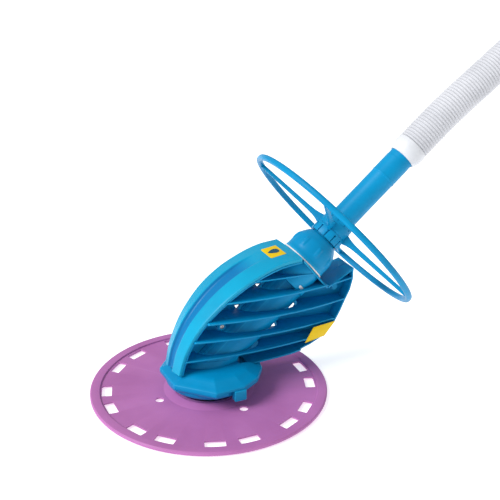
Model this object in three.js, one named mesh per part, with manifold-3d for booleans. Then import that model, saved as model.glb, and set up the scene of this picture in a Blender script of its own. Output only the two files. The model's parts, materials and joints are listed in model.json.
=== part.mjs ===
// Suction-side pool cleaner of the diaphragm kind: a round flexible disc that seals on the pool floor,
// a foot with a throat, an open ribbed body in two halves, an inclined neck with a hand nut, an extension
// pipe that swivels, a free-turning deflector wheel and the first stretch of the suction hose.
// Millimetres, +Z up, -X forwards. The disc's centre is straight above (-ORIGIN_X, 0) on the floor z = 0.
import * as THREE from 'three';
import { ConvexGeometry } from 'three/addons/geometries/ConvexGeometry.js';
import { mergeVertices } from 'three/addons/utils/BufferGeometryUtils.js';
import Module from 'manifold-3d';

const wasm = await Module();
wasm.setup();

// ---------------------------------------------------------------- driving dimensions
const GAP = 0.3;                       // between pieces that touch

const DISC = {
  radius: 172.5, hole: 47, under: 2.6, top: 5, rimWidth: 15, rimTop: 7.4, hubRadius: 66, hubTop: 9.3,
};
const SLOT = { pairs: 8, radius: 148, length: 29, width: 14.5, apart: 18.34, first: 122.82 };
const DISC_HOLES = { radius: 78.5, bore: 6.3, angles: [52.9, 181.6, 284.2] };
const RETAINER = { inner: 47, outer: 50.5, low: 6.3, high: 9.3 };

const PAD = { bore: 22, body: 46.4, lip: 54, lipTop: 1.2, top: 9.3, channels: 6 };
const FOOT = {
  bottom: 9.6, skirt: 46, waist: 62, fasciaLow: 30, fasciaTop: 39, underIn: 9,
  topIn: 18, topUp: 8, stubTop: 57.7,
};
const FOOT_FRONT = { x: -65.5, halfEdge: 27.5, chamferX: -22, side: 74.3 };
const FOOT_SHELF = { x: 36, halfWidth: 28.5, z: 39.5 };
const BALLAST = { inner: 26, outer: 42, low: 10.5, top: 26 };
const CLIP = { x0: 6, x1: 23, slotX: -3, y: 66, outer: 77, low: 19, high: 34.7, barb: 3 };

const NECK_ANGLE = 39.5;               // the neck's slope above the floor, degrees
const NECK_FOOT_Z = 51.3;              // where the neck's axis crosses the disc's axis
const COLLAR = { radius: 34, from: 158, to: 195 };
const THROAT = { front: 22.1, rear: 26, rearAt: 8.3, wall: 2.6 };   // an oval around two circles
const TUNNEL = { front: 6, rear: 6, spare: 0.4 };    // room that the ribs leave around the throat
const PIN = { at: 165, turn: -78.5, length: 11, width: 4.4, depth: 3 };

const BODY_WALL = 2.6;
const RIB_THICKNESS = 2.4;
const WEB_HALF = 1.7;
const SPLIT_HALF = 0.15;
const REAR_WIDTH = 43.2;
const BOTTOM_WIDTH = 50;
const BUMPER = { skin: 3.2, foam: 2.8 };

const PIPE = { outer: 19, inner: 17, from: 170, to: 430, flange: 27, stepAt: 366, step: 19.6 };
const INNER_PIPE = { outer: 14.5, inner: 12.5, from: 156.3, to: 405 };
const NUT = { from: 197.5, radius: 34.5, wall: 3, grips: 8 };
const WHEEL = {
  at: 261, radius: 152, rim: 8, depth: 9, spokes: 4, firstSpoke: -50, hub: 23.75, bore: 21.3,
};
const HUB_SLOTS = { count: 12, width: 1.6, depth: 1.4, low: 7.5, high: 4.5 };
const SLEEVE = { inner: 19.3, outer: 21, from: 243.5, to: 281, flange: 23 };
const CUFF = { inner: 19.4, from: 407, to: 432 };
const HOSE = { outer: 25, inner: 20.5 };

const WIDE_ROUND = 48;                 // sides of the disc and the wheel's rim
const ROUND = 32;                      // sides of the other large turned pieces
const SMALL_ROUND = 20;

// The row's origin is under the middle of the object's length, measured without the hose.
const neckSlope = THREE.MathUtils.degToRad(NECK_ANGLE);
const rearEnd = PIPE.to * Math.cos(neckSlope) + PIPE.outer * Math.sin(neckSlope);
const ORIGIN_X = (rearEnd - DISC.radius) / 2;

// ---------------------------------------------------------------- outlines of the body, [x, z]
const FRONT_CURVE = [
  [129, 201.5], [98, 199.5], [66, 191], [32, 175.5], [-1, 152], [-31, 119], [-50.5, 82], [-59, 50.5],
];
const REAR_CURVE = [
  [226.5, 158.7], [225, 133], [213, 107], [198, 78], [176, 57], [148, 45.5], [118, 40.6], [52, 40.2],
];
const TAIL_FOOT = [180, 142.5];
const TAIL_FOOT_HALF = 31;
// The front face's [half width, z].
const FRONT_WIDTHS = [[24, 40], [27, 82], [31.5, 119], [37, 152], [39.5, 180], [38.5, 206]];

// Each rib runs from its front end to its rear end, [x, z], and swells between them: half widths.
const RIBS = [
  { front: [46, 178.4], rear: [157, 168.7], widths: [38, 36.5, 34.5] },
  { front: [3, 154.4], rear: [223, 143], widths: [38, 43, 21.6] },
  { front: [-31, 128.5], rear: [212, 111], widths: [36.5, 43.5, 21.6] },
  { front: [-42, 101], rear: [192, 82], widths: [32, 39.5, 21.6] },
  { front: [-52, 70], rear: [173, 59.3], widths: [26.5, 33, 22] },
];
const RIB_MID = 0.4;                   // where along a rib its middle width is taken

// Three-sided windows through the middle web, behind the throat and in front of it: [x, z] corners.
const WEB_WINDOWS = [
  [[126.5, 103.5], [136.5, 101.5], [140, 108.5], [137, 112.5]],
  [[95, 77], [109.5, 75.5], [105.8, 87.5]],
  [[39.5, 129], [43, 120], [50, 128.5]],
  [[68.5, 157], [75, 147.5], [84, 154]],
];

// Screws that hold the two halves: their place on the side view, the side their head is on, and the
// height of their boss.
const SCREWS = [
  { at: [10, 113], side: -1, boss: 26 },
  { at: [50, 165], side: 1, boss: 8 },
  { at: [203, 127], side: 1, boss: 8 },
  { at: [146, 54], side: 1, boss: 8 },
];
const SCREW = { boss: 4.8, head: 3.6, headHeight: 2.4, shank: 1.9, length: 6 };

// The hose's centre line beyond the neck, [x, z] in the middle plane.
const HOSE_LINE = [
  [333.8, 326.5], [354, 343.2], [396.5, 376.7], [446.6, 411.8],
  [479, 434.4], [508, 454.6], [545, 480.2], [582, 505.8],
];

// ---------------------------------------------------------------- materials
function material(colour, roughness, metalness = 0) {
  return new THREE.MeshStandardMaterial({ color: colour, roughness, metalness });
}

const BLUE = 0x0078b8;
const PURPLE = 0x9a5aa0;
const WHITE = 0xe9edf2;
const YELLOW = 0xf2c400;
const RUBBER = 0x25282c;
const STEEL = 0xb8bcc0;
const FOAM = 0x3c4650;

// ---------------------------------------------------------------- solids and booleans
function toSolid(geometry) {
  const bare = geometry.index ? geometry.toNonIndexed() : geometry.clone();
  bare.deleteAttribute('normal');
  bare.deleteAttribute('uv');
  const merged = mergeVertices(bare, 1e-4);
  const vertProperties = new Float32Array(merged.attributes.position.array);
  const triVerts = new Uint32Array(merged.index.array);
  return new wasm.Manifold(new wasm.Mesh({ numProp: 3, vertProperties, triVerts }));
}

function toGeometry(solid) {
  const mesh = solid.getMesh();
  const geometry = new THREE.BufferGeometry();
  geometry.setAttribute('position', new THREE.BufferAttribute(new Float32Array(mesh.vertProperties), 3));
  geometry.setIndex(new THREE.BufferAttribute(new Uint32Array(mesh.triVerts), 1));
  return geometry;
}

function join(...geometries) {
  return toGeometry(geometries.map(toSolid).reduce((sum, solid) => sum.add(solid)));
}

function cut(geometry, ...tools) {
  return toGeometry(tools.map(toSolid).reduce((rest, tool) => rest.subtract(tool), toSolid(geometry)));
}

function common(first, second) {
  return toGeometry(toSolid(first).intersect(toSolid(second)));
}

// ---------------------------------------------------------------- basic shapes
function box(x0, x1, y0, y1, z0, z1) {
  const geometry = new THREE.BoxGeometry(x1 - x0, y1 - y0, z1 - z0);
  return geometry.translate((x0 + x1) / 2, (y0 + y1) / 2, (z0 + z1) / 2);
}

// A box on one side of the middle plane, from near to far along Y.
function sideBox(side, x0, x1, near, far, z0, z1) {
  const [y0, y1] = side < 0 ? [-far, -near] : [near, far];
  return box(x0, x1, y0, y1, z0, z1);
}

// A turned piece about Z from [radius, z] points.
function turned(profile, sides = ROUND) {
  const points = profile.map(([radius, z]) => new THREE.Vector2(radius, z));
  return new THREE.LatheGeometry(points, sides).rotateX(Math.PI / 2);
}

// A ring about Z: its profile closes on itself, counted so that the faces point out.
function ring(inner, outer, low, high, sides = ROUND) {
  return turned([[inner, low], [outer, low], [outer, high], [inner, high], [inner, low]], sides);
}

function rod(radius, low, high, sides = SMALL_ROUND) {
  return turned([[0, low], [radius, low], [radius, high], [0, high]], sides);
}

// A flat outline on the side view, [x, z], given thickness along Y.
function plate(outline, y0, y1) {
  const shape = new THREE.Shape(outline.map(([x, z]) => new THREE.Vector2(x, z)));
  const geometry = new THREE.ExtrudeGeometry(shape, { depth: y1 - y0, bevelEnabled: false });
  return geometry.rotateX(Math.PI / 2).translate(0, y1, 0);
}

// A flat outline on the plan, [x, y], given thickness along Z.
function slab(outline, z0, z1) {
  const shape = new THREE.Shape(outline.map(([x, y]) => new THREE.Vector2(x, y)));
  return new THREE.ExtrudeGeometry(shape, { depth: z1 - z0, bevelEnabled: false }).translate(0, 0, z0);
}

function smooth(points, steps) {
  const curve = new THREE.SplineCurve(points.map(([x, z]) => new THREE.Vector2(x, z)));
  return curve.getSpacedPoints(steps).map((p) => [p.x, p.y]);
}

// The same line moved sideways, to the left of its way.
function offset(line, distance) {
  return line.map(([x, z], i) => {
    const [ax, az] = line[Math.max(i - 1, 0)];
    const [bx, bz] = line[Math.min(i + 1, line.length - 1)];
    const length = Math.hypot(bx - ax, bz - az);
    return [x - (distance * (bz - az)) / length, z + (distance * (bx - ax)) / length];
  });
}

function strip(line, near, far, halfWidth) {
  return plate([...offset(line, near), ...offset(line, far).reverse()], -halfWidth, halfWidth);
}

// The neck's own frame: its Z runs up the pipe, its X points back and down, its Y is the row's Y.
const neckMatrix = new THREE.Matrix4()
  .makeRotationY(Math.PI / 2 - neckSlope)
  .setPosition(0, 0, NECK_FOOT_Z);

function onNeck(geometry) {
  return geometry.applyMatrix4(neckMatrix);
}

// ---------------------------------------------------------------- disc and foot
function discGeometry() {
  const { radius, hole, under, top, rimWidth, rimTop, hubRadius, hubTop } = DISC;
  const rimInner = radius - rimWidth;
  const seat = RETAINER.outer + GAP;
  const sheet = turned([
    [hole, under], [rimInner - 4, under], [rimInner, 0], [radius - 5, 0], [radius, 3], [radius, 5.2],
    [radius - 4, rimTop], [rimInner + 0.8, rimTop], [rimInner, top], [hubRadius, top], [seat + 3, hubTop],
    [seat, hubTop], [seat, RETAINER.low - GAP], [hole, RETAINER.low - GAP], [hole, under],
  ], WIDE_ROUND);
  const tools = [];
  for (let i = 0; i < SLOT.pairs; i += 1) {
    for (const side of [-0.5, 0.5]) {
      const angle = SLOT.first + (360 / SLOT.pairs) * i + SLOT.apart * side;
      tools.push(slotTool(THREE.MathUtils.degToRad(angle)));
    }
  }
  for (const angle of DISC_HOLES.angles) {
    const a = THREE.MathUtils.degToRad(angle);
    const x = DISC_HOLES.radius * Math.cos(a);
    const y = DISC_HOLES.radius * Math.sin(a);
    tools.push(rod(DISC_HOLES.bore, -2, rimTop + 2, 16).translate(x, y, 0));
  }
  return cut(sheet, ...tools);
}

function slotTool(angle) {
  const across = SLOT.width / 2;
  const along = SLOT.length / 2;
  return box(SLOT.radius - across, SLOT.radius + across, -along, along, -5, 15).rotateZ(angle);
}

function padGeometry() {
  const { bore, body, lip, lipTop, top, channels } = PAD;
  const ringShape = turned([
    [bore, 0], [lip, 0], [lip, lipTop], [body, lipTop], [body, top], [bore, top], [bore, 0],
  ]);
  const tools = [];
  for (let i = 0; i < channels; i += 1) {
    const channel = box(bore - 4, body - 6, -3, 3, -1, 2.5);
    tools.push(channel.rotateZ((2 * Math.PI * (i + 0.5)) / channels));
  }
  return cut(ringShape, ...tools);
}

// The foot's eight-sided outline, with each corner moved towards the middle by the inset.
function footOutline(inset) {
  const { x, halfEdge, chamferX, side } = FOOT_FRONT;
  const left = [[x, -halfEdge], [chamferX, -side], [22, -side], [50, -59.2], [69, -35.3]];
  const right = left.map(([px, py]) => [px, -py]).reverse();
  return [...left, [77.5, 0], ...right].map(([px, py]) => {
    const share = 1 - inset / Math.hypot(px, py);
    return [px * share, py * share];
  });
}

function footGeometry() {
  const { bottom, skirt, waist, fasciaLow, fasciaTop, underIn, topIn, topUp, stubTop } = FOOT;
  const levels = [
    [underIn, fasciaLow - 6], [2, fasciaLow], [0, fasciaLow + 2], [0, fasciaTop], [topIn, fasciaTop + topUp],
  ];
  const corners = levels.flatMap(([inset, z]) => (
    footOutline(inset).map(([x, y]) => new THREE.Vector3(x, y, z))
  ));
  const flange = new ConvexGeometry(corners);
  const under = turned([
    [0, bottom], [skirt, bottom], [skirt, 13], [waist, 21], [waist, fasciaLow + 2], [0, fasciaLow + 2],
  ]);
  const stub = common(onNeck(throatTube(-30, 90, 0)), box(-80, 120, -40, 40, 30, stubTop));
  const throat = rod(PAD.bore, bottom - 5, 34, SMALL_ROUND);
  const funnel = turned([[0, 28], [PAD.bore, 28], [18, 52], [0, 52]], SMALL_ROUND);
  const bore = onNeck(throatTube(-8, 90, -THROAT.wall));
  const shelf = box(FOOT_SHELF.x, 90, -FOOT_SHELF.halfWidth, FOOT_SHELF.halfWidth, FOOT_SHELF.z, 80);
  const pockets = [-1, 1].map((side) => (
    sideBox(side, CLIP.slotX, CLIP.x1 + GAP, CLIP.y, 90, 5, CLIP.high + GAP)
  ));
  const ballast = ring(BALLAST.inner - GAP, BALLAST.outer + GAP, 5, BALLAST.top + GAP);
  const seated = cut(join(flange, under), shelf);
  return cut(join(seated, stub), throat, funnel, bore, ...pockets, ballast);
}

function clipGeometry(side) {
  const { x0, x1, y, outer, low, high, barb } = CLIP;
  const block = sideBox(side, x0, x1, y + GAP, outer, low, high);
  const hook = sideBox(side, x0 + barb, x1 - barb, y + GAP, y + barb, low - 4, low + 2);
  return join(block, hook);
}

// ---------------------------------------------------------------- neck pieces, in the neck's own frame
// Circles across the neck, [x, radius], wrapped in one convex tube along it.
function wrapped(circles, from, to) {
  const points = [];
  for (let i = 0; i < ROUND; i += 1) {
    const angle = (2 * Math.PI * i) / ROUND;
    for (const [centre, radius] of circles) {
      const x = centre + radius * Math.cos(angle);
      const y = radius * Math.sin(angle);
      points.push(new THREE.Vector3(x, y, from), new THREE.Vector3(x, y, to));
    }
  }
  return new ConvexGeometry(points);
}

// The throat tube is oval: it wraps the neck's own axis in front and a wider circle behind it.
function throatTube(from, to, grow) {
  return wrapped([[0, THROAT.front + grow], [THROAT.rearAt, THROAT.rear + grow]], from, to);
}

function housingGeometry() {
  const { radius, from, to } = COLLAR;
  const outside = join(throatTube(-10, from + 4, 0), rod(radius, from, to, ROUND));
  const bore = throatTube(-20, from + 6, -THROAT.wall);
  const seat = rod(radius - 5, from + 6, to + 1, SMALL_ROUND);
  const shell = cut(outside, bore, seat, pinShape(GAP));
  const below = box(-200, 400, -60, 60, -60, FOOT.stubTop + GAP);
  const inNeck = below.applyMatrix4(neckMatrix.clone().invert());
  return cut(shell, inNeck);
}

// A short pin let into the collar's side, long way round the collar.
function pinShape(grow) {
  const half = PIN.width / 2 + grow;
  const reach = PIN.length / 2 - PIN.width / 2;
  const outline = new THREE.Shape();
  outline.absarc(0, reach, half, 0, Math.PI, false);
  outline.absarc(0, -reach, half, Math.PI, 2 * Math.PI, false);
  const bar = new THREE.ExtrudeGeometry(outline, {
    depth: PIN.depth + 2 * grow, bevelEnabled: false, curveSegments: 4,
  });
  bar.rotateY(Math.PI / 2);
  bar.translate(COLLAR.radius - PIN.depth - grow - 0.1, 0, PIN.at);
  return bar.rotateZ(THREE.MathUtils.degToRad(PIN.turn));
}

function diaphragmGeometry() {
  return turned([
    [15, 48], [17.2, 48], [17.2, 56], [16, 62], [15, 90], [16, 122], [19, 132], [19, 150], [17.5, 150],
    [14, 124], [7, 104], [6.4, 92], [11, 70], [15, 56], [15, 48],
  ], SMALL_ROUND);
}

function outerPipeGeometry() {
  const { outer, inner, from, to, flange, stepAt, step } = PIPE;
  return turned([
    [inner, from], [flange, from], [flange, from + 4], [outer, from + 4], [outer, stepAt], [step, stepAt + 1.5],
    [step, stepAt + 14], [outer, stepAt + 26], [outer, to], [inner, to], [inner, from],
  ]);
}

function nutGeometry() {
  const { from, radius, wall, grips } = NUT;
  const outline = [[radius, 0], [radius, 12], [34, 21], [31.9, 28.5], [28, 35.7], [23.4, 41.6], [22.2, 42.6]];
  const inside = [
    [19.6, 42.6], [20.4, 38.4], [25.8, 33], [29, 26], [30.8, 20], [radius - wall, 12], [radius - wall, 0],
  ];
  const profile = [...outline, ...inside, outline[0]];
  const dome = turned(profile.map(([r, z]) => [r, from + z]));
  const bumps = [];
  for (let i = 0; i < grips; i += 1) {
    const bump = new THREE.SphereGeometry(1, 6, 4).scale(3.2, 5.2, 6.5);
    bump.rotateY(-0.22).translate(31.6, 0, from + 21);
    bumps.push(bump.rotateZ((2 * Math.PI * (i + 0.5)) / grips));
  }
  return join(dome, ...bumps);
}

function wheelGeometry() {
  const { at, radius, rim, depth, spokes, hub, bore } = WHEEL;
  const half = depth / 2;
  const rimRing = turned([
    [radius - rim, at - half], [radius - 1.5, at - half], [radius, at - half + 1.5], [radius, at + half - 1.5],
    [radius - 1.5, at + half], [radius - rim, at + half], [radius - rim, at - half],
  ], WIDE_ROUND);
  const hubRing = ring(bore, hub, at - 19.5, at + 14.5);
  const parts = [rimRing, hubRing];
  const profile = [
    [hub - 1.6, -11], [hub + 16, -4.8], [60, -3.6], [radius - 3, -3.2], [radius - 3, 2.2], [60, 2.8],
    [hub + 16, 3.8], [hub - 1.6, 9]];
  for (let i = 0; i < spokes; i += 1) {
    const spoke = plate(profile, -2.1, 2.1).translate(0, 0, at);
    parts.push(spoke.rotateZ(spokeAngle(i)));
  }
  return cut(join(...parts), ...hubSlots(at - 19.5, at + 14.5));
}

// Keyways in both ends of the wheel's hub, set midway between each other around it.
function hubSlots(bottom, top) {
  const { count, width, depth, low, high } = HUB_SLOTS;
  const slots = [];
  for (let i = 0; i < count; i += 1) {
    const angle = (2 * Math.PI * (i + 0.5)) / count;
    const inside = WHEEL.hub - depth;
    slots.push(box(inside, WHEEL.hub + 3, -width / 2, width / 2, bottom - 1, bottom + low).rotateZ(angle));
    slots.push(box(inside, WHEEL.hub + 3, -width / 2, width / 2, top - high, top + 1).rotateZ(angle));
  }
  return slots;
}

// Spoke angles are counted from the neck's own X axis, which points back and down.
function spokeAngle(i) {
  return THREE.MathUtils.degToRad(WHEEL.firstSpoke + (360 / WHEEL.spokes) * i);
}

function cuffGeometry() {
  const { inner, from, to } = CUFF;
  return turned([
    [inner, from], [20.6, from], [21.6, from + 1.5], [22.4, from + 4], [24.6, from + 9], [25.2, from + 14],
    [25.2, to - 3], [24.2, to], [inner, to], [inner, from],
  ], SMALL_ROUND);
}

// ---------------------------------------------------------------- body
function bodyLines() {
  const front = smooth(FRONT_CURVE, 16);
  const rear = smooth(REAR_CURVE, 14);
  return { front, rear };
}

// The region inside the bumper, closed by the neck opening, the tail, the rear curve and the underside.
function bodySide(inset) {
  const { front, rear } = bodyLines();
  const bumper = BUMPER.skin + BUMPER.foam + 2 * GAP;
  const inner = offset(front, bumper + inset);
  const back = offset(rear, -inset);
  const underside = [[45, 52], [-30, 58], [-44, 50]];
  return [...inner.reverse(), [TAIL_FOOT[0], TAIL_FOOT[1] - inset], ...back, ...underside];
}

function ribOutline({ front, rear, widths }) {
  const length = Math.hypot(rear[0] - front[0], rear[1] - front[1]);
  const [w0, w1, w2] = widths;
  const m = RIB_MID;
  const curve = (w1 - w0 - m * (w2 - w0)) / (m * m - m);
  const slope = w2 - w0 - curve;
  const steps = 8;
  const edge = [];
  for (let i = 0; i <= steps; i += 1) {
    const t = i / steps;
    edge.push([t * length, w0 + slope * t + curve * t * t]);
  }
  edge.unshift([-14, w0]);
  edge.push([length + 4, w2]);
  return [...edge.map(([x, w]) => [x, -w]), ...edge.reverse()];
}

function ribGeometry(rib) {
  const { front, rear } = rib;
  const tilt = Math.atan2(front[1] - rear[1], rear[0] - front[0]);
  const sheet = slab(ribOutline(rib), -RIB_THICKNESS / 2, RIB_THICKNESS / 2);
  return sheet.rotateY(tilt).translate(front[0], 0, front[1]);
}

function frontEnvelope() {
  const half = smooth(FRONT_WIDTHS, 8);
  const outline = [...half, ...half.map(([w, z]) => [-w, z]).reverse()];
  const shape = new THREE.Shape(outline.map(([w, z]) => new THREE.Vector2(w, z)));
  const block = new THREE.ExtrudeGeometry(shape, { depth: 260, bevelEnabled: false });
  return block.rotateX(Math.PI / 2).rotateZ(Math.PI / 2).translate(-80, 0, 0);
}

function topPlate() {
  const halfTop = 38.5;
  const outline = [[-26, -halfTop], [44, -TAIL_FOOT_HALF], [44, TAIL_FOOT_HALF], [-26, halfTop]];
  return onNeck(slab(outline, COLLAR.to - 3, COLLAR.to - 0.5));
}

function tailPanel() {
  const [top] = REAR_CURVE;
  const length = Math.hypot(top[0] - TAIL_FOOT[0], top[1] - TAIL_FOOT[1]);
  const half = REAR_WIDTH / 2;
  const outline = [[-2, -TAIL_FOOT_HALF], [length, -half], [length, half], [-2, TAIL_FOOT_HALF]];
  const tilt = Math.atan2(top[1] - TAIL_FOOT[1], top[0] - TAIL_FOOT[0]);
  return slab(outline, -BODY_WALL, 0).rotateY(-tilt).translate(TAIL_FOOT[0], 0, TAIL_FOOT[1]);
}

// The long room that the ribs leave around the throat, in front and behind.
function longTunnel() {
  const { front, rear, spare } = TUNNEL;
  const rearRadius = THROAT.rear + spare;
  const circles = [
    [-front, THROAT.front + spare], [THROAT.rearAt, rearRadius], [THROAT.rearAt + rear, rearRadius],
  ];
  return onNeck(wrapped(circles, -40, COLLAR.from));
}

// The web between the halves fits closely around the throat.
function throatHole() {
  return onNeck(throatTube(-40, COLLAR.from, TUNNEL.spare));
}

// The room that the body leaves for the housing's collar, and above it for the seal and the nut.
function collarTool() {
  return onNeck(rod(COLLAR.radius + 0.4, COLLAR.from - 1, COLLAR.to + 1, ROUND));
}

function nutTool() {
  return onNeck(rod(NUT.radius + 1.5, COLLAR.to, NUT.from + 80, ROUND));
}

function wholeBody() {
  const { front, rear } = bodyLines();
  const inset = BUMPER.skin + BUMPER.foam + 2 * GAP;
  const wide = 80;
  const inside = plate(bodySide(0), -wide, wide);
  const wall = common(strip(front, inset, inset + BODY_WALL, wide), frontEnvelope());
  const ribs = RIBS.map((rib) => common(ribGeometry(rib), inside));
  const split = Math.round(rear.length * 0.62);
  const back = strip(rear.slice(0, split + 1), 0, -BODY_WALL, REAR_WIDTH / 2);
  const base = strip(rear.slice(split), 0, -BODY_WALL, BOTTOM_WIDTH / 2);
  const shell = cut(join(wall, ...ribs, back, base, topPlate(), tailPanel()), longTunnel());
  const windows = WEB_WINDOWS.map((corners) => plate(corners, -5, 5));
  const web = cut(plate(bodySide(0.5), -WEB_HALF, WEB_HALF), ...windows);
  const bosses = SCREWS.map(({ at, side, boss }) => {
    const post = rod(SCREW.boss, -boss, boss, 12).rotateX(Math.PI / 2).translate(at[0], 0, at[1]);
    return side < 0 ? common(post, box(-500, 500, -60, 8, -500, 500)) : post;
  });
  return cut(join(shell, web, ...bosses), throatHole(), collarTool(), nutTool(), ...SCREWS.map(screwHole));
}

function screwHole({ at, side, boss }) {
  const { head, headHeight, shank, length } = SCREW;
  const profile = [[0, 0], [head + GAP, 0], [head + GAP, headHeight + GAP], [shank + GAP, headHeight + GAP],
    [shank + GAP, boss + length], [0, boss + length]];
  const tool = turned(profile, 12).rotateX(side < 0 ? -Math.PI / 2 : Math.PI / 2);
  return tool.translate(at[0], side * (boss + 0.01), at[1]);
}

function screwGeometry({ at, side, boss }) {
  const { head, headHeight, shank, length } = SCREW;
  const profile = [[0, 0], [head - 0.6, 0], [head, 0.8], [head, headHeight], [shank, headHeight],
    [shank, boss + length - 2], [0, boss + length - 1]];
  const body = turned(profile, 12).rotateX(side < 0 ? -Math.PI / 2 : Math.PI / 2);
  return body.translate(at[0], side * boss, at[1]);
}

function shellHalf(side) {
  const [y0, y1] = side < 0 ? [-100, -SPLIT_HALF] : [SPLIT_HALF, 100];
  return common(wholeBody(), box(-200, 400, y0, y1, -50, 400));
}

function bumperGeometry() {
  const { front } = bodyLines();
  const skin = strip(front, 0, BUMPER.skin, 80);
  const ridge = strip(front, -1.6, 1, 80);
  const channel = slab([[-80, -9], [90, -6], [90, 6], [-80, 9]], 30, 230);
  const edges = box(-80, 200, -13, 13, 0, 300);
  const outerBand = common(cut(ridge, channel), edges);
  const ends = box(-90, 60, -60, 60, 0, 300);
  const raised = common(outerBand, ends);
  const beyondNeck = onNeck(box(-200, 200, -100, 100, COLLAR.to, COLLAR.to + 200));
  return cut(common(join(skin, raised), frontEnvelope()), collarTool(), beyondNeck);
}

function foamGeometry() {
  const { front } = bodyLines();
  const near = BUMPER.skin + GAP;
  return common(strip(front.slice(2, -2), near, near + BUMPER.foam, 20), frontEnvelope());
}

// ---------------------------------------------------------------- labels
function topLabel() {
  const { front } = bodyLines();
  const patch = strip(front, -GAP - 0.8, -GAP, 17);
  return common(patch, box(88, 116, -17, 17, 150, 260));
}

function sideLabel(side) {
  const quad = [[138, 62], [154, 82.5], [197, 79.5], [176, 61.5]];
  const flat = plate(quad, -0.5, 0.5);
  const lean = THREE.MathUtils.degToRad(12);
  flat.translate(-150, 0, -70).rotateZ(side < 0 ? lean : -lean);
  return flat.translate(150, side * 34.5, 70);
}

// ---------------------------------------------------------------- hose
function hoseCurve() {
  return new THREE.CatmullRomCurve3(HOSE_LINE.map(([x, z]) => new THREE.Vector3(x, 0, z)));
}

function hoseGeometry() {
  const sides = 6;
  const shape = new THREE.Shape();
  shape.absarc(0, 0, HOSE.outer, 0, 2 * Math.PI, false);
  const hollow = new THREE.Path();
  hollow.absarc(0, 0, HOSE.inner, 0, 2 * Math.PI, true);
  shape.holes.push(hollow);
  return new THREE.ExtrudeGeometry(shape, {
    steps: 10, extrudePath: hoseCurve(), curveSegments: sides, bevelEnabled: false,
  });
}

function hoseEndGeometry() {
  const end = turned([
    [20.5, 0.3], [24.5, 0.3], [26, 2], [26, 12], [27.5, 16], [27.5, 34], [26, 38], [26, 50], [20.5, 50], [20.5, 0.3],
  ], SMALL_ROUND);
  const curve = hoseCurve();
  const tip = curve.getPoint(1);
  const way = curve.getTangent(1);
  return end.rotateY(Math.atan2(way.x, way.z)).translate(tip.x, tip.y, tip.z);
}

// ---------------------------------------------------------------- assembly
const cleaner = new THREE.Group();
cleaner.position.x = -ORIGIN_X;
const neck = new THREE.Group();
neck.position.z = NECK_FOOT_Z;
neck.rotation.y = Math.PI / 2 - neckSlope;
cleaner.add(neck);

function add(parent, name, geometry, look) {
  const mesh = new THREE.Mesh(geometry, look);
  mesh.name = name;
  parent.add(mesh);
}

add(cleaner, 'seal_disc', discGeometry(), material(PURPLE, 0.5));
add(cleaner, 'foot_pad', padGeometry(), material(RUBBER, 0.8));
add(cleaner, 'disc_retaining_ring', ring(RETAINER.inner, RETAINER.outer, RETAINER.low, RETAINER.high),
  material(PURPLE, 0.5));
const ballast = ring(BALLAST.inner, BALLAST.outer, BALLAST.low, BALLAST.top);
add(cleaner, 'ballast_ring', ballast, material(STEEL, 0.5, 1));
add(cleaner, 'foot_base', footGeometry(), material(BLUE, 0.35));
add(cleaner, 'foot_clip_left', clipGeometry(-1), material(BLUE, 0.35));
add(cleaner, 'foot_clip_right', clipGeometry(1), material(BLUE, 0.35));

add(cleaner, 'body_shell_left', shellHalf(-1), material(BLUE, 0.35));
add(cleaner, 'body_shell_right', shellHalf(1), material(BLUE, 0.35));
add(cleaner, 'front_bumper', bumperGeometry(), material(BLUE, 0.35));
add(cleaner, 'float_strip', foamGeometry(), material(FOAM, 0.9));
SCREWS.forEach((screw, i) => {
  add(cleaner, `body_screw_${i + 1}`, screwGeometry(screw), material(STEEL, 0.3, 1));
});
add(cleaner, 'top_label', topLabel(), material(YELLOW, 0.4));
add(cleaner, 'side_label_left', sideLabel(-1), material(YELLOW, 0.4));
add(cleaner, 'side_label_right', sideLabel(1), material(YELLOW, 0.4));

add(neck, 'throat_housing', housingGeometry(), material(BLUE, 0.35));
add(neck, 'housing_pin', pinShape(0), material(WHITE, 0.4));
add(neck, 'diaphragm_seat_ring', ring(14, 17.4, 41, 47.7, SMALL_ROUND), material(YELLOW, 0.5));
add(neck, 'diaphragm', diaphragmGeometry(), material(RUBBER, 0.7));
add(neck, 'compression_ring', ring(15, 19, 150.3, 156, SMALL_ROUND), material(WHITE, 0.5));
add(neck, 'inner_extension_pipe', ring(INNER_PIPE.inner, INNER_PIPE.outer, INNER_PIPE.from, INNER_PIPE.to, SMALL_ROUND),
  material(WHITE, 0.4));
add(neck, 'swivel_bearing', ring(PIPE.outer + GAP, 26, PIPE.from + 4.3, PIPE.from + 12), material(WHITE, 0.4));
add(neck, 'nut_seal_ring', ring(30, 34.8, COLLAR.to + GAP, NUT.from - GAP), material(WHITE, 0.5));
add(neck, 'hand_nut', nutGeometry(), material(BLUE, 0.3));
add(neck, 'outer_extension_pipe', outerPipeGeometry(), material(BLUE, 0.3));
add(neck, 'wheel_sleeve', turned([
  [SLEEVE.inner, SLEEVE.from], [SLEEVE.outer, SLEEVE.from], [SLEEVE.outer, SLEEVE.to - 4],
  [SLEEVE.flange, SLEEVE.to - 4], [SLEEVE.flange, SLEEVE.to], [SLEEVE.inner, SLEEVE.to], [SLEEVE.inner, SLEEVE.from],
]), material(BLUE, 0.4));
add(neck, 'deflector_wheel', wheelGeometry(), material(BLUE, 0.35));
add(neck, 'hose_cuff', cuffGeometry(), material(WHITE, 0.45));
add(cleaner, 'hose', hoseGeometry(), material(WHITE, 0.5));
add(cleaner, 'hose_end_cuff', hoseEndGeometry(), material(WHITE, 0.45));

export default cleaner;
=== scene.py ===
# The looks of a suction-side pool cleaner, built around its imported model.
import json
import math

import bmesh
import bpy
from mathutils import Matrix, Vector


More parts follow.
